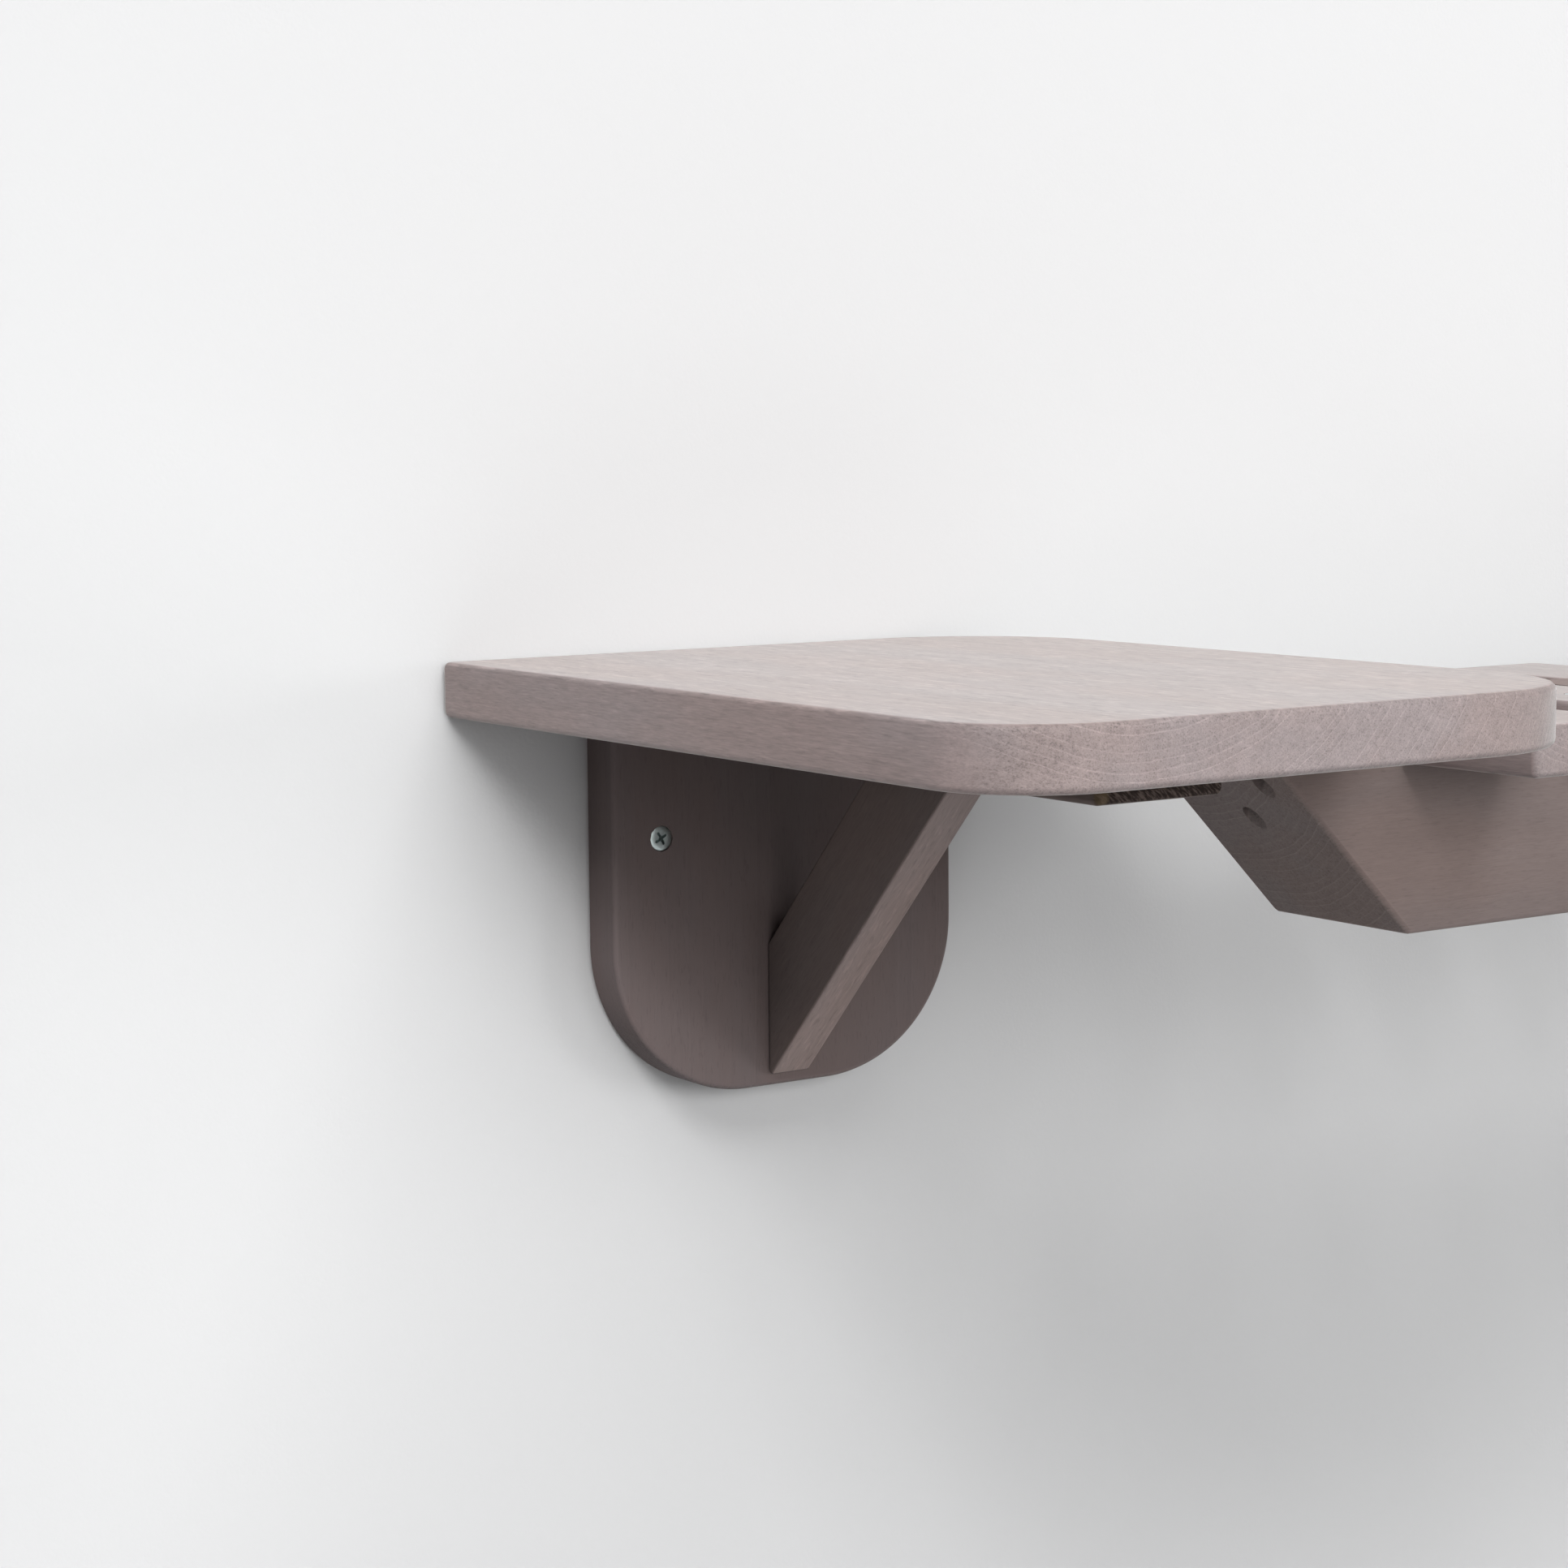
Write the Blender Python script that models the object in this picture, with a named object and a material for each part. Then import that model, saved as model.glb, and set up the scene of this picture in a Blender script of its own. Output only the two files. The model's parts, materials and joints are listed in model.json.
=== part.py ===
"""Cat wall bridge: two platforms on wall brackets, joined by a spine beam with housed slats.

Metres, +Z up. X runs along the wall, the wall is the plane Y = 0 and the bridge stands
out from it towards -Y. The origin lies on the wall, midway between the two wall screws
of the left bracket.
"""

import bpy
import bmesh
from math import acos, atan2, ceil, cos, pi, radians, sin, tan
from mathutils import Matrix, Vector

# Driving dimensions, in metres
SPAN = 0.500  # clear length between the two platforms
GAP = 0.0003  # air between pieces that touch

PLATFORM_LENGTH = 0.250  # along the wall
PLATFORM_DEPTH = 0.330  # out from the wall
PLATFORM_THICKNESS = 0.020
PLATFORM_WALL_CORNER = 0.0030  # outer corner at the wall, almost square
PLATFORM_OUTER_CORNER = 0.038  # outer corner at the front
PLATFORM_BRIDGE_CORNER = 0.060  # both corners on the bridge side
PLATFORM_EDGE = 0.0024  # rounding of the upper and lower rims

PLATE_WIDTH = 0.153
PLATE_HEIGHT = 0.1465
PLATE_THICKNESS = 0.020
PLATE_TOP_CORNER = 0.0035
PLATE_FOOT_CORNER = 0.058
PLATE_EDGE = 0.0022
PLATE_OFFSET = 0.010  # plate's middle, from the platform's middle towards the bridge

BRACE_THICKNESS = 0.017  # along the wall
BRACE_WIDTH = 0.036  # square across its length
BRACE_OFFSET = 0.0015  # brace's middle, from the plate's middle towards the outer end
BRACE_ANGLE = radians(46.5)
BRACE_FOOT_MARGIN = 0.0028  # from the plate's foot up to the brace's foot
BRACE_CORNER = 0.0015
BRACE_EDGE = 0.0010

ARM_WIDTH = 0.054
ARM_THICKNESS = 0.018
ARM_SETBACK = 0.094  # from the platform's front edge back to the arm's end
ARM_CORNER = 0.003
ARM_EDGE = 0.0022

BEAM_WIDTH = 0.070
BEAM_HEIGHT = 0.080
BEAM_LAP = 0.049  # how far the beam reaches in under each platform
BEAM_TIP_CORNER = 0.0025
BEAM_FOOT_CORNER = 0.004
BEAM_EDGE = 0.0020

SLAT_COUNT = 6
SLAT_LENGTH = 0.200
SLAT_WIDTH = 0.054
SLAT_THICKNESS = 0.018
SLAT_CORNER = 0.003
SLAT_EDGE = 0.0022

WALL_SCREW_DROP = 0.048  # from the plate's top edge down to the wall screws
WALL_SCREW_MARGIN = 0.0205  # from the plate's side edges in to the wall screws
WALL_SCREW_SINK = 0.0005  # of the head's top below the plate's face
WALL_SCREW_TWIST = radians(30)  # of the cross recess
WALL_HEAD_RADIUS = 0.0046
WALL_SHANK_RADIUS = 0.0024
HEAD_RADIUS = 0.0040  # assembly screws
SHANK_RADIUS = 0.0019
PLATFORM_SCREW_BITE = 0.012  # from the arm up into the platform
ARM_SCREW_BITE = 0.030  # from the plate into the arm's end
ARM_SCREW_SPREAD = 0.032  # between the two screws in the arm's end
BRACE_SCREW_BITE = 0.025  # into either end of the brace
BEAM_SCREW_BITE = 0.012  # from the beam up into the platform
BEAM_SCREW_WEB = 0.015  # wood between a beam screw's head and the platform
BEAM_SCREW_INSET = 0.024  # from the beam's tip to the two outer screws
BEAM_SCREW_MIDDLE_INSET = 0.038  # from the beam's tip to the middle screw
BEAM_SCREW_SPREAD = 0.040  # between the two outer screws at a beam's end
SLAT_SCREW_BITE = 0.022  # from the slat down into the beam
SLAT_SCREW_SPREAD = 0.040  # between the two screws of a slat

# Resolution
ARC_TOLERANCE = 0.00017  # most that an arc's facets may cut off
SCREW_SIDES = 12
OVERRUN = 0.001  # how far a cutter runs past the face that it opens

# Places that follow from the sizes
PLATE_TOP = WALL_SCREW_DROP
PLATE_FOOT = PLATE_TOP - PLATE_HEIGHT
ARM_BOTTOM = PLATE_TOP - ARM_THICKNESS
ARM_END = PLATFORM_DEPTH - ARM_SETBACK
BRACE_FOOT = PLATE_FOOT + BRACE_FOOT_MARGIN
BRACE_FOOT_SEAT = BRACE_WIDTH / cos(BRACE_ANGLE)  # upright cut on the plate
BRACE_HEAD_SEAT = BRACE_WIDTH / sin(BRACE_ANGLE)  # level cut under the arm
BRACE_REACH = PLATE_THICKNESS + (ARM_BOTTOM - BRACE_FOOT) / tan(BRACE_ANGLE)
BRACE_BACK = BRACE_REACH - BRACE_HEAD_SEAT  # from the wall out to the head cut
OUTER_EDGE = -(PLATFORM_LENGTH / 2 + PLATE_OFFSET)  # outer edge of the left platform
MIDDLE = OUTER_EDGE + PLATFORM_LENGTH + SPAN / 2  # the bridge is mirrored about X = MIDDLE
BEAM_Y = -PLATFORM_DEPTH / 2
BEAM_TOP = PLATE_TOP - GAP
BEAM_TIP = OUTER_EDGE + PLATFORM_LENGTH - BEAM_LAP
SLAT_PITCH = (SPAN + SLAT_WIDTH) / (SLAT_COUNT + 1)  # equal gaps, also to the platforms

# Linear colours of the stained wood and the bright zinc
STAIN = (0.34, 0.29, 0.275, 1.0)
STAIN_SHADE = (0.28, 0.235, 0.225, 1.0)
ZINC = (0.62, 0.64, 0.65, 1.0)

OUT, IN, UP, DOWN = (0, -1, 0), (0, 1, 0), (0, 0, 1), (0, 0, -1)
SIDES = {"left": 1, "right": -1}  # +1 keeps a shape as drawn, -1 mirrors it

# Turn a board drawn flat, with its outline in X-Y and its thickness along Z
FLAT = Matrix()
UPRIGHT = Matrix.Rotation(pi / 2, 4, "X")  # outline in X-Z, thickness towards -Y
SIDEWAYS = Matrix(((0, 0, 1, 0), (1, 0, 0, 0), (0, 1, 0, 0), (0, 0, 0, 1)))  # outline in Y-Z


def clear_scene():
    for thing in list(bpy.data.objects):
        bpy.data.objects.remove(thing)


def material(name, colour, roughness, metallic=0.0):
    made = bpy.data.materials.new(name)
    made.use_nodes = True
    shader = made.node_tree.nodes["Principled BSDF"]
    shader.inputs["Base Color"].default_value = colour
    shader.inputs["Roughness"].default_value = roughness
    shader.inputs["Metallic"].default_value = metallic
    return made


def link(name, mesh):
    thing = bpy.data.objects.new(name, mesh)
    bpy.context.collection.objects.link(thing)
    if mesh:
        thing.parent = bridge
    return thing


def finished_mesh(name, shape):
    """The mesh of a bmesh shape, with its curved faces shaded smooth."""
    mesh = bpy.data.meshes.new(name)
    shape.to_mesh(mesh)
    shape.free()
    mesh.shade_smooth()
    mesh.set_sharp_from_angle(angle=radians(38))
    return mesh


def mirrored(side, x):
    """X of a place on the left half, moved to the right half where side is -1."""
    return x if side == 1 else 2 * MIDDLE - x


# Boards

def arc_steps(radius, turn):
    return max(2, ceil(turn / (2 * acos(1 - ARC_TOLERANCE / radius))))


def rounded_outline(corners, inset):
    """A convex outline from anticlockwise corners (x, y, radius), drawn in by inset."""
    points = []
    for i, (x, y, radius) in enumerate(corners):
        before = Vector((x, y)) - Vector(corners[i - 1][:2])
        after = Vector(corners[(i + 1) % len(corners)][:2]) - Vector((x, y))
        out_before = Vector((before.y, -before.x)).normalized()
        out_after = Vector((after.y, -after.x)).normalized()
        outward = (out_before + out_after) / (1 + out_before.dot(out_after))
        centre = Vector((x, y)) - outward * radius
        start = atan2(out_before.y, out_before.x)
        turn = (atan2(out_after.y, out_after.x) - start) % (2 * pi)
        steps = arc_steps(radius, turn)
        for k in range(steps + 1):
            angle = start + turn * k / steps
            points.append(centre + Vector((cos(angle), sin(angle))) * (radius - inset))
    return points


def board_mesh(name, corners, thickness, edge, turn):
    """A board from z = 0 to z = thickness before its turn, with both rims rounded."""
    levels = []
    steps = arc_steps(edge, pi / 2)
    for k in range(steps + 1):
        angle = pi / 2 * k / steps
        levels.append((edge * (1 - sin(angle)), edge * (1 - cos(angle))))
    levels += [(inset, thickness - z) for inset, z in reversed(levels)]
    shape = bmesh.new()
    rings = []
    for inset, z in levels:
        outline = rounded_outline(corners, inset)
        rings.append([shape.verts.new((point.x, point.y, z)) for point in outline])
    add_skin(shape, rings)
    shape.transform(turn)
    return finished_mesh(name, shape)


def add_skin(shape, rings):
    """Closed skin over rings that run anticlockwise and upwards."""
    count = len(rings[0])
    for low, high in zip(rings, rings[1:]):
        for i in range(count):
            j = (i + 1) % count
            shape.faces.new((low[i], low[j], high[j], high[i]))
    shape.faces.new(list(reversed(rings[0])))
    shape.faces.new(rings[-1])


def rectangle(length_x, low_y, high_y, radius):
    half = length_x / 2
    return [(-half, low_y, radius), (half, low_y, radius),
            (half, high_y, radius), (-half, high_y, radius)]


def add_board(name, corners, thickness, edge, turn, place, colour):
    mesh = board_mesh(name, corners, thickness, edge, turn)
    mesh.materials.append(material(name, colour, 0.5))
    board = link(name, mesh)
    board.location = place
    return board


def cut(board, label, cutters):
    """Cuts a board with meshes at their places, joined into one guide object."""
    shape = bmesh.new()
    for mesh, place in cutters:
        start = len(shape.verts)
        shape.from_mesh(mesh)
        shape.verts.ensure_lookup_table()
        bmesh.ops.transform(shape, matrix=place, verts=shape.verts[start:])
    guide = link(board.name + "_" + label, finished_mesh(label, shape))
    guide.hide_render = True
    guide.display_type = "WIRE"
    knife = board.modifiers.new(label, "BOOLEAN")
    knife.operation = "DIFFERENCE"
    knife.solver = "EXACT"
    knife.object = guide


# Screws

def turned_mesh(name, profile):
    """A closed turned piece from (radius, z) points that run from its foot to its top."""
    shape = bmesh.new()
    rings = []
    for radius, z in profile:
        ring = []
        for k in range(SCREW_SIDES):
            angle = 2 * pi * k / SCREW_SIDES
            ring.append(shape.verts.new((radius * cos(angle), radius * sin(angle), z)))
        rings.append(ring)
    add_skin(shape, rings)
    return finished_mesh(name, shape)


def recess_mesh(head):
    """The cross recess of a screw head: a four-armed wedge that narrows downwards."""
    shape = bmesh.new()
    rings = []
    for reach, half, z in ((0.24, 0.09, -0.50), (0.56, 0.13, 0.10)):
        ring = []
        for k in range(4):
            turn = Matrix.Rotation(k * pi / 2, 2)
            for x, y in ((reach, -half), (reach, half), (half, half)):
                point = turn @ Vector((x, y)) * head
                ring.append(shape.verts.new((point.x, point.y, z * head)))
        rings.append(ring)
    add_skin(shape, rings)
    return finished_mesh("recess", shape)


class Screw:
    """A countersunk screw, head up with its top at z = 0, and the hole that it needs.

    seat is the wood between the head's top and the next piece, bite the depth into that
    piece. A screw without a bite is cut off just before the far face of its board.
    """

    def __init__(self, name, head, shank, seat, bite, access=OVERRUN):
        lip = 0.09 * head
        cone = lip + head - shank
        length = seat + bite - (0 if bite else GAP)
        tip = [(0.15 * shank, -length), (shank, -length + 2.5 * shank)]
        end = [(shank, -length)]
        profile = (tip if bite else end) + [(shank, -cone), (head, -lip), (head, 0)]
        self.mesh = self.with_recess(turned_mesh(name, profile), head)
        self.mesh.materials.append(material(name, ZINC, 0.35, 1.0))
        foot = length + (GAP if bite else OVERRUN)
        self.hole = turned_mesh(name + "_hole", [
            (shank + GAP, -foot), (shank + GAP, -cone - GAP / 2),
            (head + GAP, -lip), (head + GAP, access)])

    @staticmethod
    def with_recess(blank_mesh, head):
        blank = link("blank", blank_mesh)
        wedge = link("wedge", recess_mesh(head))
        knife = blank.modifiers.new("recess", "BOOLEAN")
        knife.operation = "DIFFERENCE"
        knife.solver = "EXACT"
        knife.object = wedge
        graph = bpy.context.evaluated_depsgraph_get()
        mesh = bpy.data.meshes.new_from_object(blank.evaluated_get(graph))
        bpy.data.objects.remove(blank)
        bpy.data.objects.remove(wedge)
        return mesh

    def holes(self, places):
        return [(self.hole, place) for place in places]

    def add(self, name, places):
        for number, place in enumerate(places, 1):
            thing = link("%s_%d" % (name, number), self.mesh)
            thing.matrix_basis = place


def aimed(x, y, z, direction):
    """The place of a screw whose head is at (x, y, z) and whose point looks along direction."""
    turn = Vector(direction).to_track_quat("-Z", "Y").to_matrix().to_4x4()
    return Matrix.Translation((x, y, z)) @ turn


# Brackets: wall plate, brace and arm, and the platform on top

def wall_screw_places(centre):
    reach = PLATE_WIDTH / 2 - WALL_SCREW_MARGIN
    twist = Matrix.Rotation(WALL_SCREW_TWIST, 4, "Z")
    depth = WALL_SCREW_SINK - PLATE_THICKNESS
    return [aimed(centre + reach * k, depth, 0, IN) @ twist for k in (-1, 1)]


def arm_screw_places(centre):
    height = PLATE_TOP - ARM_THICKNESS / 2
    reach = ARM_SCREW_SPREAD / 2
    return [aimed(centre + reach * k, -GAP, height, OUT) for k in (-1, 1)]


def brace_middle(centre):
    return centre + (-BRACE_OFFSET if centre < MIDDLE else BRACE_OFFSET)


def brace_foot_place(centre):
    """Where the screw's whole bite lies midway between the brace's two edges."""
    height = BRACE_FOOT + (BRACE_SCREW_BITE * tan(BRACE_ANGLE) + BRACE_FOOT_SEAT) / 2
    return [aimed(brace_middle(centre), -GAP, height, OUT)]


def brace_head_place(centre):
    depth = BRACE_BACK + (BRACE_HEAD_SEAT - BRACE_SCREW_BITE / tan(BRACE_ANGLE)) / 2
    return [aimed(brace_middle(centre), -depth, PLATE_TOP - 2 * GAP, DOWN)]


def platform_screw_places(centre):
    """One screw behind the brace and two ahead of it."""
    behind = (PLATE_THICKNESS + BRACE_BACK) / 2
    ahead = ARM_END - BRACE_REACH
    depths = (behind, BRACE_REACH + ahead / 4, BRACE_REACH + ahead * 3 / 4)
    return [aimed(centre, -depth, ARM_BOTTOM, UP) for depth in depths]


def beam_screw_places(side):
    """Two outer screws near the beam's tip, and one on its middle further in."""
    height = BEAM_TOP - BEAM_SCREW_WEB
    outer = mirrored(side, BEAM_TIP + BEAM_SCREW_INSET)
    middle = mirrored(side, BEAM_TIP + BEAM_SCREW_MIDDLE_INSET)
    reach = BEAM_SCREW_SPREAD / 2
    return [aimed(outer, BEAM_Y - reach, height, UP), aimed(outer, BEAM_Y + reach, height, UP),
            aimed(middle, BEAM_Y, height, UP)]


def add_wall_plate(side_name, centre):
    corners = [
        (-PLATE_WIDTH / 2, PLATE_FOOT, PLATE_FOOT_CORNER),
        (PLATE_WIDTH / 2, PLATE_FOOT, PLATE_FOOT_CORNER),
        (PLATE_WIDTH / 2, PLATE_TOP - GAP, PLATE_TOP_CORNER),
        (-PLATE_WIDTH / 2, PLATE_TOP - GAP, PLATE_TOP_CORNER),
    ]
    plate = add_board("wall_plate_" + side_name, corners, PLATE_THICKNESS, PLATE_EDGE,
                      UPRIGHT, (centre, 0, 0), STAIN_SHADE)
    cut(plate, "holes", wall_screw.holes(wall_screw_places(centre))
        + arm_screw.holes(arm_screw_places(centre))
        + brace_foot_screw.holes(brace_foot_place(centre)))


def add_brace(side_name, centre):
    plate_face = -PLATE_THICKNESS - GAP
    arm_face = ARM_BOTTOM - GAP
    corners = [
        (plate_face, BRACE_FOOT, BRACE_CORNER),
        (plate_face, BRACE_FOOT + BRACE_FOOT_SEAT, BRACE_CORNER),
        (-BRACE_BACK, arm_face, BRACE_CORNER),
        (-BRACE_REACH, arm_face, BRACE_CORNER),
    ]
    brace = add_board("brace_" + side_name, corners, BRACE_THICKNESS, BRACE_EDGE,
                      SIDEWAYS, (brace_middle(centre) - BRACE_THICKNESS / 2, 0, 0),
                      STAIN_SHADE)
    cut(brace, "holes", brace_foot_screw.holes(brace_foot_place(centre))
        + brace_head_screw.holes(brace_head_place(centre)))


def add_arm(side_name, centre):
    corners = rectangle(ARM_WIDTH, -ARM_END, -PLATE_THICKNESS - GAP, ARM_CORNER)
    arm = add_board("arm_" + side_name, corners, ARM_THICKNESS - GAP, ARM_EDGE,
                    FLAT, (centre, 0, ARM_BOTTOM), STAIN_SHADE)
    cut(arm, "holes", arm_screw.holes(arm_screw_places(centre))
        + brace_head_screw.holes(brace_head_place(centre))
        + platform_screw.holes(platform_screw_places(centre)))


def add_platform(side_name, centre):
    side = SIDES[side_name]
    corners = [
        (0, -PLATFORM_DEPTH, PLATFORM_OUTER_CORNER),
        (PLATFORM_LENGTH, -PLATFORM_DEPTH, PLATFORM_BRIDGE_CORNER),
        (PLATFORM_LENGTH, 0, PLATFORM_BRIDGE_CORNER),
        (0, 0, PLATFORM_WALL_CORNER),
    ]
    if side == -1:
        corners = [(-x, y, radius) for x, y, radius in reversed(corners)]
    platform = add_board("platform_" + side_name, corners, PLATFORM_THICKNESS, PLATFORM_EDGE,
                         FLAT, (mirrored(side, OUTER_EDGE), 0, PLATE_TOP), STAIN)
    cut(platform, "holes", platform_screw.holes(platform_screw_places(centre))
        + beam_screw.holes(beam_screw_places(side)))


def add_end(side_name):
    side = SIDES[side_name]
    centre = mirrored(side, 0)
    add_platform(side_name, centre)
    add_wall_plate(side_name, centre)
    add_brace(side_name, centre)
    add_arm(side_name, centre)
    wall_screw.add("wall_screw_" + side_name, wall_screw_places(centre))
    arm_screw.add("arm_screw_" + side_name, arm_screw_places(centre))
    brace_foot_screw.add("brace_foot_screw_" + side_name, brace_foot_place(centre))
    brace_head_screw.add("brace_head_screw_" + side_name, brace_head_place(centre))
    platform_screw.add("platform_screw_" + side_name, platform_screw_places(centre))
    beam_screw.add("beam_screw_" + side_name, beam_screw_places(side))


# Bridge: a spine beam with a housing for each slat

def slat_x(number):
    """Middle of a slat, counted from 1 at the left platform."""
    return MIDDLE + (number - (SLAT_COUNT + 1) / 2) * SLAT_PITCH


def slat_screw_places(number):
    reach = SLAT_SCREW_SPREAD / 2
    return [aimed(slat_x(number), BEAM_Y + reach * k, BEAM_TOP, DOWN) for k in (-1, 1)]


def housing_mesh():
    """Cutter for one housing: a slat with its play, open above and to both sides."""
    depth = SLAT_THICKNESS + GAP
    size = (SLAT_WIDTH + 2 * GAP, BEAM_WIDTH + 2 * OVERRUN, depth + OVERRUN)
    shape = bmesh.new()
    bmesh.ops.create_cube(shape, size=1.0)
    bmesh.ops.scale(shape, vec=size, verts=shape.verts)
    bmesh.ops.translate(shape, vec=(0, 0, (OVERRUN - depth) / 2), verts=shape.verts)
    return finished_mesh("housing", shape)


def add_beam():
    far_tip = 2 * MIDDLE - BEAM_TIP
    foot = BEAM_TOP - BEAM_HEIGHT
    corners = [
        (BEAM_TIP + BEAM_HEIGHT, foot, BEAM_FOOT_CORNER),
        (far_tip - BEAM_HEIGHT, foot, BEAM_FOOT_CORNER),
        (far_tip, BEAM_TOP, BEAM_TIP_CORNER),
        (BEAM_TIP, BEAM_TOP, BEAM_TIP_CORNER),
    ]
    beam = add_board("spine_beam", corners, BEAM_WIDTH, BEAM_EDGE, UPRIGHT,
                     (0, BEAM_Y + BEAM_WIDTH / 2, 0), STAIN_SHADE)
    numbers = range(1, SLAT_COUNT + 1)
    housing = housing_mesh()
    cut(beam, "housings", [(housing, Matrix.Translation((slat_x(number), BEAM_Y, BEAM_TOP)))
                           for number in numbers])
    holes = [hole for number in numbers for hole in slat_screw.holes(slat_screw_places(number))]
    for side in SIDES.values():
        holes += beam_screw.holes(beam_screw_places(side))
    cut(beam, "holes", holes)


def add_slat(number):
    corners = rectangle(SLAT_WIDTH, -SLAT_LENGTH / 2, SLAT_LENGTH / 2, SLAT_CORNER)
    place = (slat_x(number), BEAM_Y, BEAM_TOP - SLAT_THICKNESS)
    slat = add_board("slat_%d" % number, corners, SLAT_THICKNESS, SLAT_EDGE, FLAT, place, STAIN)
    cut(slat, "holes", slat_screw.holes(slat_screw_places(number)))
    slat_screw.add("slat_screw_%d" % number, slat_screw_places(number))


clear_scene()
bridge = link("cat_wall_bridge", None)

wall_screw = Screw("wall_screw", WALL_HEAD_RADIUS, WALL_SHANK_RADIUS,
                   PLATE_THICKNESS - WALL_SCREW_SINK, 0)
arm_screw = Screw("arm_screw", HEAD_RADIUS, SHANK_RADIUS, PLATE_THICKNESS, ARM_SCREW_BITE)
brace_foot_screw = Screw("brace_foot_screw", HEAD_RADIUS, SHANK_RADIUS,
                         PLATE_THICKNESS, BRACE_SCREW_BITE)
brace_head_screw = Screw("brace_head_screw", HEAD_RADIUS, SHANK_RADIUS,
                         ARM_THICKNESS, BRACE_SCREW_BITE)
platform_screw = Screw("platform_screw", HEAD_RADIUS, SHANK_RADIUS,
                       ARM_THICKNESS, PLATFORM_SCREW_BITE)
beam_screw = Screw("beam_screw", HEAD_RADIUS, SHANK_RADIUS, BEAM_SCREW_WEB, BEAM_SCREW_BITE,
                   access=BEAM_SCREW_MIDDLE_INSET + HEAD_RADIUS)
slat_screw = Screw("slat_screw", HEAD_RADIUS, SHANK_RADIUS, SLAT_THICKNESS, SLAT_SCREW_BITE)

for side_name in SIDES:
    add_end(side_name)
add_beam()
for number in range(1, SLAT_COUNT + 1):
    add_slat(number)
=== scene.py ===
"""Looks of the cat wall bridge: stained wood, zinc screws, a pale wall, soft light and a camera.

Metres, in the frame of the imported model: X along the wall, +Y into the wall, +Z up.
"""

import json
import math

import bpy
import bmesh
from mathutils import Matrix, Vector


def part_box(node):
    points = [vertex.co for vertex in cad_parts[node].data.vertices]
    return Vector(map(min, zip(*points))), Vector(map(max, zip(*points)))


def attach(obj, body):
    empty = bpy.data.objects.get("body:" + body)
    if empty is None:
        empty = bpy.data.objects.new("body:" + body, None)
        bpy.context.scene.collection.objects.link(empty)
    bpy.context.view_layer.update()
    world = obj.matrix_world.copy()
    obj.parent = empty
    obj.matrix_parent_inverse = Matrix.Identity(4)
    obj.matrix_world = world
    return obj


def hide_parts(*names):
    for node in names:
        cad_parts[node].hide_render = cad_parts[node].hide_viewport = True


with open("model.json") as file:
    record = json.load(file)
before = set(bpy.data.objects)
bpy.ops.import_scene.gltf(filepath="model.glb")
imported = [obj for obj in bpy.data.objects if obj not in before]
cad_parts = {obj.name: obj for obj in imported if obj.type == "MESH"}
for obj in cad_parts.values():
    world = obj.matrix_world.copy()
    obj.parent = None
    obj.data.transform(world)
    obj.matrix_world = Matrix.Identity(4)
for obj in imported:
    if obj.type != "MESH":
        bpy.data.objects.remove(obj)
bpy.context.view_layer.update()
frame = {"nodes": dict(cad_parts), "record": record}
X, Y, Z = Vector((1, 0, 0)), Vector((0, 1, 0)), Vector((0, 0, 1))

# Camera, for an image of 1932 x 1932
IMAGE_SIZE = 1932
FOCAL_PIXELS = 3878.6
SENSOR_MM = 36.0
CAMERA_AT = Vector((-0.6544, -1.0032, 0.1495))
CAMERA_YAW = math.radians(33.579)  # to the right of straight at the wall
CAMERA_PITCH = math.radians(6.432)  # downwards
CAMERA_ROLL = math.radians(-0.548)

# Stage
WALL_GAP = 0.0004  # from the backs of the wall plates to the wall
WALL_NEAR = 0.0014  # light that starts this close in front of the wall passes through it
WALL_TOP = 2.2
FLOOR_Z = -1.30
FLOOR_FRONT = -4.0
STAGE_LEFT, STAGE_RIGHT = -3.0, 4.0
PAINT = (0.448, 0.449, 0.452)
PAINT_ROUGHNESS = 0.9
ROLLER_SCALE = 700
ROLLER_DEPTH = 0.0002
BEYOND = 0.85  # how bright it looks beyond the edges of the wall and floor

# Light: suns by name, degrees to the right of straight out from the wall, degrees up, softness
# in degrees and strength, and square panels by name, place, size and watts
SUNS = (
    ("left_low", -50, 42, 16, 1.70),
    ("left_high", -50, 52, 16, 1.53),
    ("front_left", -20, 52, 24, 1.00),
    ("overhead", 25, 64, 28, 1.67),
    ("from_below", 0, -30, 40, 1.13),
)
PANELS = (
    ("front_panel", (-0.6, -2.0, 0.6), 0.9, 19.9),
    ("middle_panel", (0.2, -2.0, 0.6), 0.9, 12.3),
    ("right_panel", (2.0, -1.6, 0.1), 0.9, 24.0),
    ("back_panel", (0.4, 2.0, 0.5), 2.5, 60.0),
)
PANEL_TARGET = (0.1, -0.1, 0)
CONTRAST = 1.15

# Wood: linear colours and finishes
WOOD_WARM = (0.202, 0.167, 0.160)
WOOD_COOL = (0.195, 0.168, 0.165)
WOOD_DARK = (0.026, 0.018, 0.015)
WOOD_TORN = (0.100, 0.077, 0.068)
WOOD_BARE = (0.150, 0.112, 0.068)
END_TINT = (0.98, 1.02, 1.03)
WARM_TO_COOL = (0.35, 0.65)  # the cloud noise where the warm tone starts to turn cool, and ends
ROUGHNESS = 0.60
ROUGHNESS_SWAY, END_ROUGHNESS = 0.14, 0.12  # from streak to streak, and more on end grain
SHEEN = 0.28
SHEEN_ROUGHNESS = 0.35
SHEEN_TINT = (0.95, 1.0, 0.98)
SPECULAR, DARK_SPECULAR = 0.25, 0.10  # of boards with and without sheen
GRAIN_DEPTH, GRAIN_STRENGTH = 0.00005, 0.5
STREAK_HEIGHT, PORE_HEIGHT = 0.6, -0.7  # beside fibres of height 1

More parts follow.
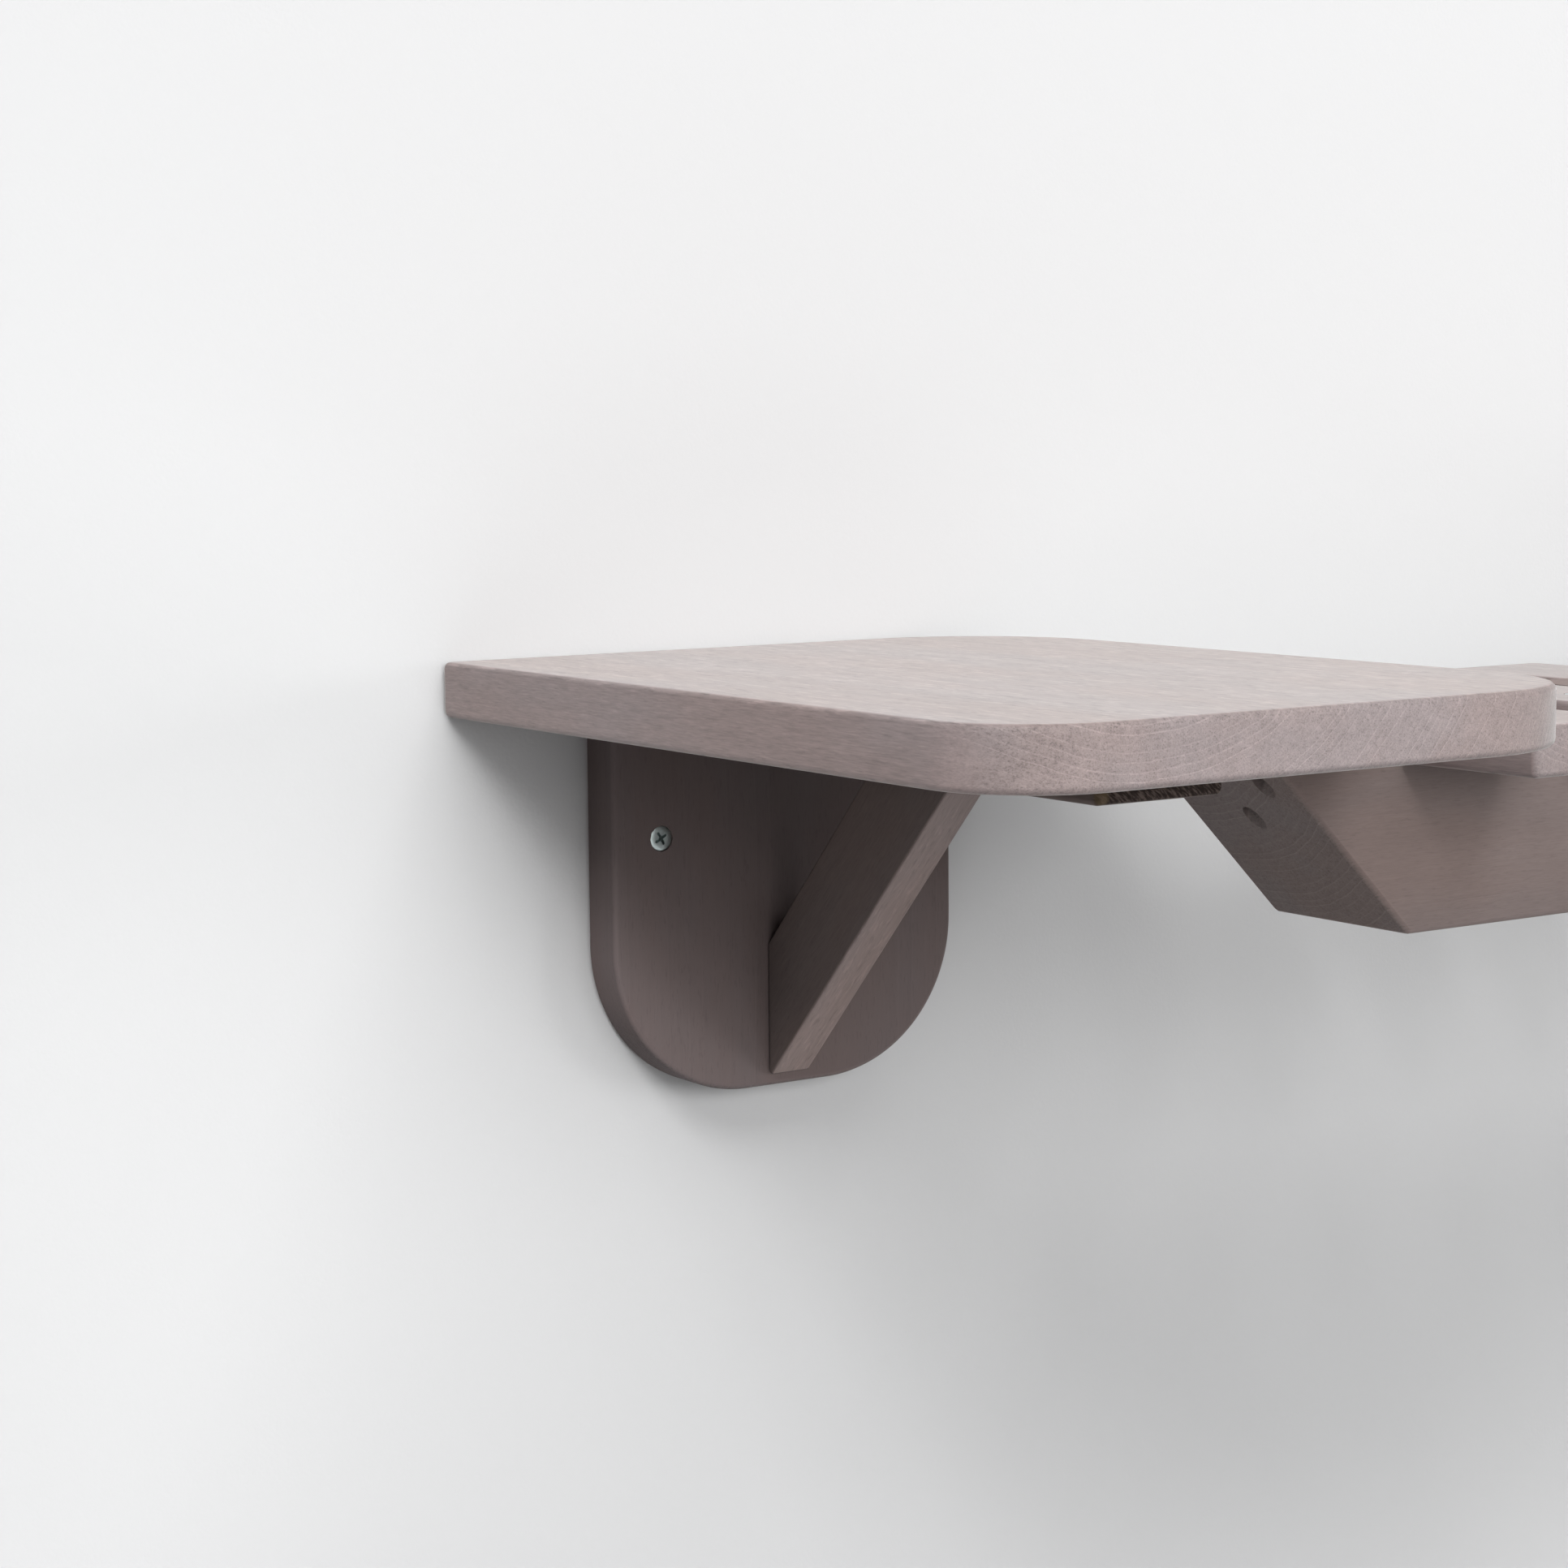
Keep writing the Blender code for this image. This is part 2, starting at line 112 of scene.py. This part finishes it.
# Limits of a mask, in how far a surface faces along the fibres or through the board, 0 to 1
END_GRAIN = (0.25, 0.70)  # where end grain starts, and where it is full
RIM_SIDE, RIM_FACE = (0.05, 0.40), (0.99, 0.85)  # where a rim starts and is full, on both sides
BROAD = (0.3, 0.9, 0.5, 1.5)  # edge, broad face, and how strongly drawn patterns show on each
# Painted light on the faces across a board's thickness, used on the braces' upper and lower faces
PAINTED_LIGHT_LIMITS = (0.6, 0.95)  # where a pale face starts, and where it is full

# Growth rings
RING_SPACING = 0.0026
RING_BEND, RING_RIPPLE = 0.010, 0.0020  # how far the noises move a ring
RING_CROWDING = 0.7  # how far rings crowd and spread, in spacings
CROWDING_SCALE = 130.0  # how often they do so in a metre
RING_STRENGTH = (0.25, 1.0)  # of the faintest and the boldest ring
LINE_RISE, LINE_FALL, LATE_RISE = (0.76, 0.93), (1.0, 0.95), (0.3, 0.9)  # in parts of a ring

# Patterns in a board: noise by its scale across, through and along the grain, detail, roughness
NOISES = {
    "bend": ((6, 6, 2.5), 2.0, 0.5),
    "ripple": ((75, 75, 7), 2.0, 0.5),
    "fibre": ((2300, 2300, 150), 2.0, 0.6),
    "streak": ((560, 560, 34), 3.0, 0.65),
    "stroke": ((520, 900, 95), 2.0, 0.6),
    "scratch": ((600, 900, 110), 2.0, 0.6),
    "fleck": ((1500, 1500, 230), 1.0, 0.5),
    "cloud": ((24, 24, 8), 3.0, 0.55),
    "band": ((120, 120, 2.4), 3.0, 0.6),
    "pore": ((1700, 1700, 600), 2.0, 0.7),
    "mottle": ((650, 650, 200), 3.0, 0.7),
}
WAVES = ("fibre", "streak", "cloud", "band", "mottle")  # lighten here and darken there
MARKS = {  # the noise at which each mark is absent, and at which it is full
    "stroke": (0.54, 0.68),
    "scratch": (0.44, 0.32),
    "fleck": (0.60, 0.72),
    "pore": (0.50, 0.66),
}
SHADES = {  # how much lighter each pattern makes faces and end grain
    "fibre": (0.40, 0.40),
    "streak": (0.34, 0.04),
    "stroke": (0.13, 0.0),
    "scratch": (-0.13, 0.0),
    "cloud": (0.16, 0.16),
    "band": (0.22, 0.22),
    "line": (0.07, 0.29),
    "late": (-0.04, -0.07),
    "fleck": (-0.08, 0.0),
    "pore": (0.0, -0.22),
    "mottle": (0.0, 0.45),
    # painted shade: the upper rim of each rounded edge is made darker
    "upper_rim_painted_shade": (-0.22, -0.12),
    # painted light: the lower rim of each rounded edge is made lighter
    "lower_rim_painted_light": (0.06, 0.06),
}
END_SHADE = 0.97  # how light end grain is under its patterns
FIGURED = ("fibre", "streak", "stroke", "scratch", "band")  # go with how figured the board is
DRAWN = ("streak", "stroke", "scratch")  # show more on the broad faces than on the edges
BOARD_SHIFT = (3.1, 1.7, 2.3)  # gives each board noise of its own, from the place of its middle

# An end cut that took the stain unevenly
TORN_NOISE = ((900, 170, 1), 2.0, 0.65)
TORN_SLANT = 0.75
TORN_MARKS = (0.42, 0.66)
BARE_REACH = (0.0065, 0.0045)  # how far from a point the stain starts to fade, and is gone
BARE_RIPPLE = 0.003
BARE_SHARE = 0.5  # how far the stain is missing there

# Boards
BRACE_ANGLE = math.radians(46.5)
SLOPE = Vector((0, -math.cos(BRACE_ANGLE), math.sin(BRACE_ANGLE)))  # along the braces, out and up
SQUARE = Vector((0, math.sin(BRACE_ANGLE), math.cos(BRACE_ANGLE)))  # square to them
# tone is how light each board took the stain; the darker tones of the wall plates, braces, arms
# and spine beams, which sit in the platform's shade, also hold painted shade
BOARDS = {
    "platform": dict(across=X, through=Z, along=Y, pith=(-0.075, 0.085),
                     tone=(1.04, 1.00, 1.00), figure=1.35, sheen=SHEEN),
    "wall_plate": dict(across=X, through=Y, along=Z, pith=(0.020, 0.090),
                       tone=(0.685, 0.66, 0.665), figure=0.10),
    # The braces' faces across their thickness are made lighter as painted light
    "brace": dict(across=X, through=SQUARE, along=SLOPE, pith=(0.040, 0.050),
                  tone=(0.73, 0.70, 0.68), figure=0.7, painted_edge_light=0.42),
    "arm": dict(across=X, through=Z, along=Y, pith=(-0.030, 0.060),
                tone=(0.55, 0.51, 0.48), figure=0.5),
    "spine_beam": dict(across=Y, through=Z, along=X, pith=(0.030, 0.090),
                       tone=(0.83, 0.79, 0.765), figure=0.6),
    "slat": dict(across=X, through=Z, along=Y, pith=(0.010, 0.070),
                 tone=(0.99, 0.95, 0.95), figure=1.35, sheen=SHEEN),
}
RAW_ENDS = {  # the arms' end cuts took the stain unevenly, and show bare wood around a point
    "arm_left": (-0.026, -0.236, 0.032),
    "arm_right": (0.749, -0.236, 0.033),
}
CORNERS = {  # a board's two axes, and the radius at the low and high ends of each
    "platform_left": (0, 1, {(0, 0): 0.038, (1, 0): 0.060, (1, 1): 0.060}),
    "platform_right": (0, 1, {(1, 0): 0.038, (0, 0): 0.060, (0, 1): 0.060}),
    "wall_plate_left": (0, 2, {(0, 0): 0.058, (1, 0): 0.058}),
    "wall_plate_right": (0, 2, {(0, 0): 0.058, (1, 0): 0.058}),
}
ARC_CUTS = 4  # points added between two that the solid's corner has
SAME_POINT, SAME_HEIGHT, SAME_ARC = 1e-6, 2e-6, 5e-6  # points this close share them
SAME_FACE = math.radians(0.5)
BOARD_CREASE, SCREW_CREASE = math.radians(38), math.radians(30)  # edges over this stay sharp

# Screws: where the head faces, head and shank radius, pointed or cut off, turn of the cross
SMALL = (0.0040, 0.0019, True, 0)
SCREWS = {
    "wall_screw": ((0, -1, 0), 0.0046, 0.0024, False, 30),
    "arm_screw": ((0, 1, 0), *SMALL),
    "brace_foot_screw": ((0, 1, 0), *SMALL),
    "brace_head_screw": ((0, 0, 1), *SMALL),
    "platform_screw": ((0, 0, -1), *SMALL),
    "beam_screw": ((0, 0, -1), *SMALL),
    "slat_screw": ((0, 0, 1), *SMALL),
}
SCREW_SIDES = 48
TIP_RADIUS, TIP_LENGTH = 0.15, 2.5  # in shank radii
LIP = 0.09  # height of the head's rim, in head radii
RIM = ((1.0, -1.0), (1.0, -0.4), (0.985, -0.15), (0.96, 0.0))  # radius in heads, depth in lips
RECESS = (  # reach and half width of the cross's arms and their height in head radii, upwards
    (0.10, 0.04, -0.78),
    (0.22, 0.07, -0.70),
    (0.50, 0.09, -0.30),
    (0.58, 0.11, 0.0),
    (0.60, 0.12, 0.04),
)
ZINC = (0.60, 0.67, 0.66)
ZINC_DULL = (0.8, 0.8, 0.8)  # how much darker its dull spots are
ZINC_ROUGHNESS = (0.28, 0.48)  # of its dull and its bright spots
ZINC_SCALE = 900


# Shader nodes

class Shader:
    """A new material's node tree, with short calls for the nodes that are used here."""

    def __init__(self, name):
        self.material = bpy.data.materials.new(name)
        self.material.use_nodes = True
        self.tree = self.material.node_tree
        self.surface = self.tree.nodes["Principled BSDF"]
        self.output = self.tree.nodes["Material Output"]

    def add(self, kind, inputs=None, **settings):
        node = self.tree.nodes.new(kind)
        for name, value in settings.items():
            setattr(node, name, value)
        self.fill(node, inputs or {})
        return node

    def fill(self, node, inputs):
        for name, value in inputs.items():
            self.put(node.inputs[name], value)

    def put(self, socket, value):
        """Links an output socket to an input, or sets a plain value."""
        if isinstance(value, bpy.types.NodeSocket):
            self.tree.links.new(value, socket)
        else:
            socket.default_value = value

    def math(self, operation, first, second=0.0, third=0.0):
        node = self.add("ShaderNodeMath", {0: first, 1: second, 2: third}, operation=operation)
        return node.outputs[0]

    def vector_math(self, operation, first, second):
        node = self.add("ShaderNodeVectorMath", {0: first, 1: second}, operation=operation)
        scalar = operation in ("DOT_PRODUCT", "DISTANCE")
        return node.outputs["Value" if scalar else "Vector"]

    def noise(self, vector, scale, detail, roughness):
        """Noise from 0 to 1 on a vector that is first scaled axis by axis."""
        place = self.vector_math("MULTIPLY", vector, scale)
        node = self.add("ShaderNodeTexNoise", {"Vector": place, "Scale": 1.0, "Detail": detail,
                                               "Roughness": roughness})
        return node.outputs["Fac"]

    def ramp(self, value, low, high, to_low=0.0, to_high=1.0):
        """value from low..high, which may fall, stretched smoothly to to_low..to_high."""
        if low > high:
            low, high, to_low, to_high = high, low, to_high, to_low
        node = self.add("ShaderNodeMapRange", {
            "Value": value, "From Min": low, "From Max": high,
            "To Min": to_low, "To Max": to_high}, interpolation_type="SMOOTHSTEP")
        return node.outputs["Result"]

    def grey(self, value):
        return self.add("ShaderNodeCombineColor", {0: value, 1: value, 2: value}).outputs[0]

    def mix_colour(self, factor, first, second, blend="MIX"):
        node = self.add("ShaderNodeMix", data_type="RGBA", blend_type=blend)
        self.fill(node, {0: factor, 6: first, 7: second})
        return node.outputs[2]

    def bump(self, height, distance, strength):
        node = self.add("ShaderNodeBump", {"Height": height, "Distance": distance,
                                           "Strength": strength})
        return node.outputs["Normal"]


def opaque(colour, factor=(1.0, 1.0, 1.0)):
    return tuple(channel * part for channel, part in zip(colour, factor)) + (1.0,)


# Wood and zinc

def rim(s, lean):
    """Where an edge is rounded, between its side, where lean is 0, and the board's face, 1."""
    return s.math("MULTIPLY", s.ramp(lean, *RIM_SIDE), s.ramp(lean, *RIM_FACE))


def growth_rings(s, u, v, pith, noise):
    """Each ring's thin pale line and its darker wood, in uneven rings around the tree's heart."""
    from_u = s.math("SUBTRACT", u, pith[0])
    from_v = s.math("SUBTRACT", v, pith[1])
    squares = s.math("ADD", s.math("MULTIPLY", from_u, from_u), s.math("MULTIPLY", from_v, from_v))
    radius = s.math("SQRT", squares)
    radius = s.math("MULTIPLY_ADD", noise["bend"], RING_BEND, radius)
    radius = s.math("MULTIPLY_ADD", noise["ripple"], RING_RIPPLE, radius)
    crowding = s.add("ShaderNodeTexNoise", {
        "W": s.math("MULTIPLY", radius, CROWDING_SCALE), "Scale": 1.0,
        "Detail": 1.0}, noise_dimensions="1D").outputs["Fac"]
    turns = s.math("MULTIPLY_ADD", crowding, RING_CROWDING,
                   s.math("DIVIDE", radius, RING_SPACING))
    phase = s.math("FRACT", turns)
    ring = s.add("ShaderNodeTexWhiteNoise", {"W": s.math("FLOOR", turns)}, noise_dimensions="1D")
    strength = s.ramp(ring.outputs["Value"], 0.0, 1.0, *RING_STRENGTH)
    line = s.math("MULTIPLY", s.ramp(phase, *LINE_RISE), s.ramp(phase, *LINE_FALL))
    line = s.math("MULTIPLY", line, strength)
    return line, s.math("MULTIPLY", s.ramp(phase, *LATE_RISE), strength)


def raw_cut(s, colour, end, u, v, to_bare, ripple):
    """colour with torn end grain, whose stain is missing where to_bare, a distance, is small."""
    slant = s.add("ShaderNodeCombineXYZ", {
        0: s.math("MULTIPLY_ADD", u, TORN_SLANT, v),
        1: s.math("MULTIPLY_ADD", v, -TORN_SLANT, u)}).outputs[0]
    torn = s.ramp(s.noise(slant, *TORN_NOISE), *TORN_MARKS)
    cut = s.mix_colour(torn, opaque(WOOD_DARK), opaque(WOOD_TORN))
    colour = s.mix_colour(end, colour, cut)
    bare = s.ramp(s.math("MULTIPLY_ADD", ripple, BARE_RIPPLE, to_bare), *BARE_REACH)
    share = s.math("MULTIPLY", end, s.math("MULTIPLY", bare, BARE_SHARE))
    return s.mix_colour(share, colour, opaque(WOOD_BARE))


def stained_wood(name, centre, raw_end, across, through, along, pith, tone, figure, sheen=0.0,
                 painted_edge_light=0.0):
    """Stained beech with its grain along one direction.

    centre is the board's middle, and raw_end a point on an end cut where the stain hasn't
    covered the wood, or None. across, through and along are the board's directions, pith is the
    place of the tree's heart across and through from its centre, tone how light it took the
    stain and, on the boards in the platform's shade, how much painted shade darkens it, figure
    how strongly its grain shows, sheen how much its dry top layer brightens where it is seen
    along the surface, and painted_edge_light how much lighter, as painted light, the faces
    across its thickness are.
    """
    s = Shader(name)
    coordinates = s.add("ShaderNodeTexCoord")
    place, normal = coordinates.outputs["Object"], coordinates.outputs["Normal"]
    local = s.vector_math("SUBTRACT", place, centre)
    u, v, w = [s.vector_math("DOT_PRODUCT", local, axis) for axis in (across, through, along)]
    board = s.add("ShaderNodeCombineXYZ", {0: u, 1: v, 2: w}).outputs[0]
    board = s.vector_math("ADD", board, [at * shift for at, shift in zip(centre, BOARD_SHIFT)])
    noise = {kind: s.noise(board, *settings) for kind, settings in NOISES.items()}

    # End grain is where the surface crosses the fibres
    lean = s.vector_math("DOT_PRODUCT", normal, through)
    facing_through = s.math("ABSOLUTE", lean)
    facing_along = s.math("ABSOLUTE", s.vector_math("DOT_PRODUCT", normal, along))
    end = s.ramp(facing_along, *END_GRAIN)
    face = s.math("SUBTRACT", 1.0, end)
    broad_face = s.math("MULTIPLY", face, s.ramp(facing_through, *BROAD))

    pattern = {kind: s.math("SUBTRACT", noise[kind], 0.5) for kind in WAVES}
    pattern.update({kind: s.ramp(noise[kind], *limits) for kind, limits in MARKS.items()})
    pattern["line"], pattern["late"] = growth_rings(s, u, v, pith, noise)
    # Painted shade: each board's upper rim is made darker
    pattern["upper_rim_painted_shade"] = rim(s, lean)
    # Painted light: each board's lower rim is made lighter
    pattern["lower_rim_painted_light"] = rim(s, s.math("MULTIPLY", lean, -1.0))
    shade = s.math("MULTIPLY_ADD", end, END_SHADE - 1.0, 1.0)
    for kind, (on_face, on_end) in SHADES.items():
        scale = figure if kind in FIGURED else 1.0
        cover = broad_face if kind in DRAWN else face
        weight = s.math("MULTIPLY_ADD", cover, (on_face - on_end) * scale, on_end * scale)
        shade = s.math("MULTIPLY_ADD", pattern[kind], weight, shade)
    # Painted light: the faces across the board's thickness are made lighter
    if painted_edge_light:
        pale = s.ramp(facing_through, *PAINTED_LIGHT_LIMITS, 1.0, 1.0 + painted_edge_light)
        shade = s.math("MULTIPLY", shade, pale)

    tint = s.mix_colour(s.ramp(noise["cloud"], *WARM_TO_COOL), opaque(WOOD_WARM, tone),
                        opaque(WOOD_COOL, tone))
    colour = s.mix_colour(1.0, tint, s.grey(shade), "MULTIPLY")
    colour = s.mix_colour(end, colour, opaque(END_TINT), "MULTIPLY")
    if raw_end:
        to_bare = s.vector_math("DISTANCE", place, raw_end)
        colour = raw_cut(s, colour, end, u, v, to_bare, noise["ripple"])

    rough = s.math("MULTIPLY_ADD", pattern["streak"], ROUGHNESS_SWAY, ROUGHNESS)
    height = s.math("MULTIPLY_ADD", noise["streak"], STREAK_HEIGHT, noise["fibre"])
    end_pore = s.math("MULTIPLY", end, pattern["pore"])
    height = s.math("MULTIPLY_ADD", end_pore, PORE_HEIGHT, height)
    s.fill(s.surface, {
        "Base Color": colour,
        "Roughness": s.math("MULTIPLY_ADD", end, END_ROUGHNESS, rough),
        "Specular IOR Level": SPECULAR if sheen else DARK_SPECULAR,
        "Sheen Weight": sheen,
        "Sheen Roughness": SHEEN_ROUGHNESS,
        "Sheen Tint": opaque(SHEEN_TINT),
        "Normal": s.bump(height, GRAIN_DEPTH, GRAIN_STRENGTH),
    })
    return s.material


def zinc():
    s = Shader("zinc")
    place = s.add("ShaderNodeTexCoord").outputs["Object"]
    mottle = s.noise(place, (ZINC_SCALE,) * 3, 3.0, 0.5)
    smooth, rough = ZINC_ROUGHNESS
    s.fill(s.surface, {
        "Base Color": s.mix_colour(mottle, opaque(ZINC, ZINC_DULL), opaque(ZINC)),
        "Metallic": 1.0,
        "Roughness": s.math("MULTIPLY_ADD", mottle, rough - smooth, smooth),
    })
    return s.material


# Boards

def of_kind(table, node):
    """The entry for nodes whose names start with its key."""
    return next(entry for kind, entry in table.items() if node.startswith(kind))


def middle(node):
    low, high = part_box(node)
    return (low + high) / 2


def refine_corner(shape, first, second, centre, sides, reach):
    """Adds points to a board's rounded corner, on the arc on which its own points lie."""
    def offset(vert):
        return Vector((vert.co[first], vert.co[second])) - centre

    def inside(vert):
        return all(side * part > -SAME_POINT for side, part in zip(sides, offset(vert)))

    for vert in shape.verts:
        vert[reach] = offset(vert).length if inside(vert) else 0.0
    arcs = []
    for edge in shape.edges:
        a, b = edge.verts
        rise = abs((a.co - b.co)[3 - first - second])
        if inside(a) and inside(b) and rise < SAME_HEIGHT and abs(a[reach] - b[reach]) < SAME_ARC:
            arcs.append(edge)
    bmesh.ops.subdivide_edges(shape, edges=arcs, cuts=ARC_CUTS, use_grid_fill=True)
    for vert in shape.verts:
        if vert[reach] and inside(vert):
            vert.co[first], vert.co[second] = centre + offset(vert).normalized() * vert[reach]


def smooth_copy(node):
    """A copy of a CAD node's mesh with finer corners and smooth shading, which stands for it."""
    shape = bmesh.new()
    shape.from_mesh(frame["nodes"][node].data)
    bmesh.ops.remove_doubles(shape, verts=shape.verts, dist=SAME_POINT)
    bmesh.ops.dissolve_limit(shape, angle_limit=SAME_FACE, verts=shape.verts, edges=shape.edges)
    if node in CORNERS:
        first, second, radii = CORNERS[node]
        reach = shape.verts.layers.float.new("reach")
        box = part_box(node)
        for ends, radius in radii.items():
            sides = [1 if end else -1 for end in ends]
            centre = Vector([box[end][axis] - side * radius for end, axis, side in
                             zip(ends, (first, second), sides)])
            refine_corner(shape, first, second, centre, sides, reach)
        shape.verts.layers.float.remove(reach)
    mesh = bpy.data.meshes.new(node + "_fine")
    shape.to_mesh(mesh)
    shape.free()
    mesh.shade_smooth()
    mesh.set_sharp_from_angle(angle=BOARD_CREASE)
    piece = bpy.data.objects.new(node + "_fine", mesh)
    bpy.context.scene.collection.objects.link(piece)
    even = piece.modifiers.new("normals", "WEIGHTED_NORMAL")
    even.weight = 100
    even.keep_sharp = True
    graph = bpy.context.evaluated_depsgraph_get()
    piece.data = bpy.data.meshes.new_from_object(
        piece.evaluated_get(graph), preserve_all_data_layers=True, depsgraph=graph)
    piece.modifiers.clear()
    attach(piece, "root")
    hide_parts(node)
    return piece


# Screws

def skin(name, rings):
    """A closed mesh over rings of as many points each, anticlockwise seen from the last ring."""
    shape = bmesh.new()
    rings = [[shape.verts.new(point) for point in ring] for ring in rings]
    for low, high in zip(rings, rings[1:]):
        for i in range(len(low)):
            shape.faces.new((low[i - 1], low[i], high[i], high[i - 1]))
    shape.faces.new(list(reversed(rings[0])))
    shape.faces.new(rings[-1])
    mesh = bpy.data.meshes.new(name)
    shape.to_mesh(mesh)
    shape.free()
    return bpy.data.objects.new(name, mesh)


def cross_recess(head):
    """A cross whose four arms narrow and taper downwards to a blunt point."""
    rings = []
    for reach, half, z in RECESS:
        arm = ((reach * 0.9, -half), (reach, -half * 0.5), (reach, half * 0.5),
               (reach * 0.9, half), (half * 1.1, half * 1.1))
        ring = []
        for k in range(4):
            turn = Matrix.Rotation(math.radians(90 * k), 2)
            for corner in arm:
                point = turn @ Vector(corner) * head
                ring.append((point.x, point.y, z * head))
        rings.append(ring)
    return skin("recess", rings)


def fine_screw(node):
    """A countersunk cross-recess screw with a rounded rim, which stands for the node's."""
    facing, head, shank, pointed, twist = of_kind(SCREWS, node)
    facing = Vector(facing)
    low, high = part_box(node)
    length = abs((high - low).dot(facing))
    lip = LIP * head
    profile = [(shank, -length)]
    if pointed:
        profile = [(TIP_RADIUS * shank, -length), (shank, -length + TIP_LENGTH * shank)]
    profile.append((shank, -lip - head + shank))
    profile += [(radius * head, depth * lip) for radius, depth in RIM]
    turns = [math.tau * k / SCREW_SIDES for k in range(SCREW_SIDES)]
    blank = skin(node + "_fine", [[(radius * math.cos(turn), radius * math.sin(turn), z)
                                   for turn in turns] for radius, z in profile])
    wedge = cross_recess(head)
    for thing in (blank, wedge):
        bpy.context.scene.collection.objects.link(thing)
    knife = blank.modifiers.new("recess", "BOOLEAN")
    knife.operation, knife.solver, knife.object = "DIFFERENCE", "EXACT", wedge
    graph = bpy.context.evaluated_depsgraph_get()
    mesh = bpy.data.meshes.new_from_object(blank.evaluated_get(graph))
    blank.modifiers.clear()
    bpy.data.objects.remove(wedge)
    top = (low + high) / 2 + facing * length / 2
    turn = facing.to_track_quat("Z", "Y").to_matrix().to_4x4()
    mesh.transform(Matrix.Translation(top) @ turn @ Matrix.Rotation(math.radians(twist), 4, "Z"))
    mesh.shade_smooth()
    mesh.set_sharp_from_angle(angle=SCREW_CREASE)
    blank.data = mesh
    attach(blank, "root")
    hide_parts(node)
    return blank


def dress():
    slots = {part["node"]: part["material_slot"] for part in frame["record"]["subparts"]}
    bright = zinc()
    for node in sorted(frame["nodes"]):
        metal = slots[node] == "zinc_screw"
        piece = fine_screw(node) if metal else smooth_copy(node)
        piece.data.materials.append(bright if metal else stained_wood(
            node + "_wood", middle(node), RAW_ENDS.get(node), **of_kind(BOARDS, node)))


# Wall and floor

def plane(name, corners):
    mesh = bpy.data.meshes.new(name)
    mesh.from_pydata(corners, [], [tuple(range(len(corners)))])
    thing = bpy.data.objects.new(name, mesh)
    bpy.context.scene.collection.objects.link(thing)
    return thing


def paint():
    """Matt paint that is clear from behind, and for light that starts right in front of it."""
    s = Shader("paint")
    place = s.add("ShaderNodeTexCoord").outputs["Object"]
    roller = s.noise(place, (ROLLER_SCALE,) * 3, 3.0, 0.5)
    s.fill(s.surface, {
        "Base Color": opaque(PAINT),
        "Roughness": PAINT_ROUGHNESS,
        "Specular IOR Level": 0.2,
        "Normal": s.bump(roller, ROLLER_DEPTH, 0.3),
    })
    behind = s.add("ShaderNodeNewGeometry").outputs["Backfacing"]
    length = s.add("ShaderNodeLightPath").outputs["Ray Length"]
    near = s.math("LESS_THAN", length, WALL_NEAR)
    clear = s.add("ShaderNodeBsdfTransparent").outputs[0]
    mixed = s.add("ShaderNodeMixShader", {0: s.math("MAXIMUM", behind, near),
                                          1: s.surface.outputs[0], 2: clear})
    s.put(s.output.inputs["Surface"], mixed.outputs[0])
    return s.material


def add_stage():
    low_left, low_right = (STAGE_LEFT, WALL_GAP, FLOOR_Z), (STAGE_RIGHT, WALL_GAP, FLOOR_Z)
    wall = plane("backdrop_wall", [low_left, low_right, (STAGE_RIGHT, WALL_GAP, WALL_TOP),
                                   (STAGE_LEFT, WALL_GAP, WALL_TOP)])
    floor = plane("floor", [(STAGE_LEFT, FLOOR_FRONT, FLOOR_Z),
                            (STAGE_RIGHT, FLOOR_FRONT, FLOOR_Z), low_right, low_left])
    surface = paint()
    for thing in (wall, floor):
        thing.data.materials.append(surface)


# Light and camera

def add_lamp(name, kind, at, target, power):
    lamp = bpy.data.lights.new(name, kind)
    lamp.energy = power
    thing = bpy.data.objects.new(name, lamp)
    bpy.context.scene.collection.objects.link(thing)
    thing.location = at
    thing.rotation_mode = "QUATERNION"
    thing.rotation_quaternion = (Vector(target) - Vector(at)).to_track_quat("-Z", "Y")
    return lamp


def add_light():
    for name, side, height, softness, power in SUNS:
        side, height = math.radians(side), math.radians(height)
        towards = Vector((math.sin(side) * math.cos(height), -math.cos(side) * math.cos(height),
                          math.sin(height)))
        add_lamp(name, "SUN", towards * 3, (0, 0, 0), power).angle = math.radians(softness)
    for name, at, size, power in PANELS:
        add_lamp(name, "AREA", at, PANEL_TARGET, power).size = size


def add_world():
    """A world that gives no light and is only seen by the camera, beyond the stage."""
    world = bpy.data.worlds.new("world")
    bpy.context.scene.world = world
    world.use_nodes = True
    nodes = world.node_tree.nodes
    background = nodes["Background"]
    background.inputs["Color"].default_value = (1.0, 1.0, 1.0, 1.0)
    seen = nodes.new("ShaderNodeLightPath").outputs["Is Camera Ray"]
    strength = nodes.new("ShaderNodeMapRange")
    strength.inputs["To Max"].default_value = BEYOND
    world.node_tree.links.new(seen, strength.inputs["Value"])
    world.node_tree.links.new(strength.outputs["Result"], background.inputs["Strength"])


def add_camera():
    forward = Vector((math.sin(CAMERA_YAW) * math.cos(CAMERA_PITCH),
                      math.cos(CAMERA_YAW) * math.cos(CAMERA_PITCH), -math.sin(CAMERA_PITCH)))
    right = Vector((math.cos(CAMERA_YAW), -math.sin(CAMERA_YAW), 0))
    turn = Matrix((right, right.cross(forward), -forward)).transposed().to_4x4()
    lens = bpy.data.cameras.new("camera")
    lens.sensor_width = SENSOR_MM
    lens.lens = FOCAL_PIXELS / IMAGE_SIZE * SENSOR_MM
    thing = bpy.data.objects.new("camera", lens)
    bpy.context.scene.collection.objects.link(thing)
    roll = Matrix.Rotation(CAMERA_ROLL, 4, "Z")
    thing.matrix_world = Matrix.Translation(CAMERA_AT) @ turn @ roll
    bpy.context.scene.camera = thing


dress()
add_stage()
add_light()
add_world()
add_camera()
bpy.context.scene.view_settings.view_transform = "Standard"
bpy.context.scene.view_settings.gamma = 1 / CONTRAST
